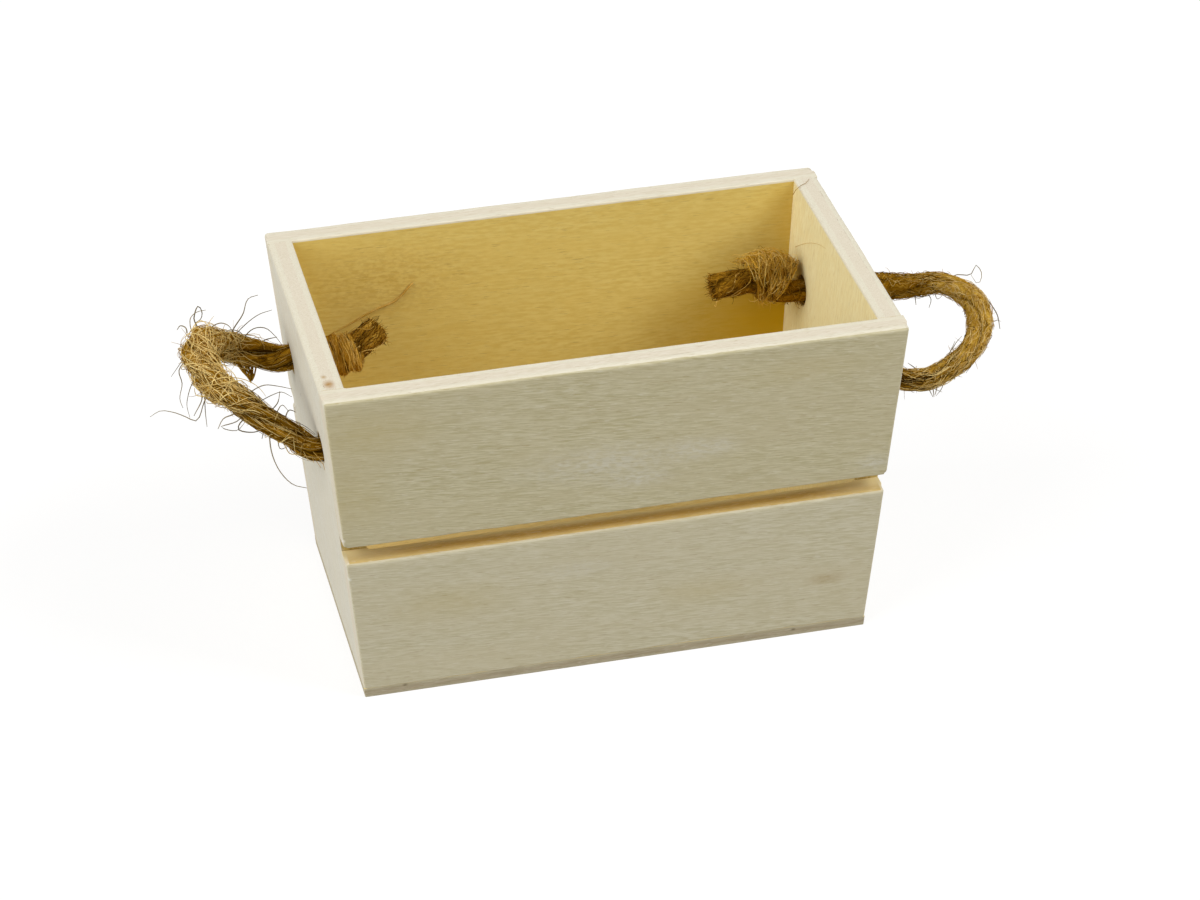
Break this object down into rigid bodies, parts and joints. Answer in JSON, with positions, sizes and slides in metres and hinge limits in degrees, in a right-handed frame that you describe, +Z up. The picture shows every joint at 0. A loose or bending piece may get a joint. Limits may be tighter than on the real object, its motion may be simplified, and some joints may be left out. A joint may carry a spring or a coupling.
{
  "type": "tapered wooden crate with rope handles",
  "caption": "Small open plywood box with slatted, outward-leaning walls and a knotted jute rope handle through each end panel.",
  "frame": {"origin": "middle of the underside of the base panel", "axes": "+X along the length towards the right end, +Y from the front to the back, +Z up"},
  "size_m": [0.2003, 0.085, 0.088],
  "materials": {
    "slat_plywood": "bare sanded plywood, fine level grain",
    "end_plywood": "bare sanded plywood, fine upright grain",
    "base_plywood": "bare thin plywood, sawn edge",
    "jute_rope": "three-strand twisted jute, hairy"
  },
  "bodies": {
    "box": {"base_panel": "base_plywood", "left_end_panel": "end_plywood", "right_end_panel": "end_plywood", "front_upper_slat": "slat_plywood", "front_lower_slat": "slat_plywood", "back_upper_slat": "slat_plywood", "back_lower_slat": "slat_plywood"},
    "left_rope": {"left_front_knot": "jute_rope", "left_back_knot": "jute_rope"},
    "left_loop": {"left_rope_loop": "jute_rope"},
    "right_rope": {"right_front_knot": "jute_rope", "right_back_knot": "jute_rope"},
    "right_loop": {"right_rope_loop": "jute_rope"}
  },
  "joints": [
    {"name": "left_rope_draw", "type": "slide", "parent": "box", "child": "left_rope", "axis": [-0.9966, 0, -0.0819], "range_m": [0, 0.0014]},
    {"name": "left_loop_swing", "type": "hinge", "parent": "left_rope", "child": "left_loop", "pos_m": [-0.07155, 0, 0.06351], "axis": [0, 1, 0], "range_deg": [-92, 38]},
    {"name": "right_rope_draw", "type": "slide", "parent": "box", "child": "right_rope", "axis": [0.9966, 0, -0.0819], "range_m": [0, 0.0032]},
    {"name": "right_loop_swing", "type": "hinge", "parent": "right_rope", "child": "right_loop", "pos_m": [0.07155, 0, 0.06351], "axis": [0, -1, 0], "range_deg": [-66, 58]}
  ]
}
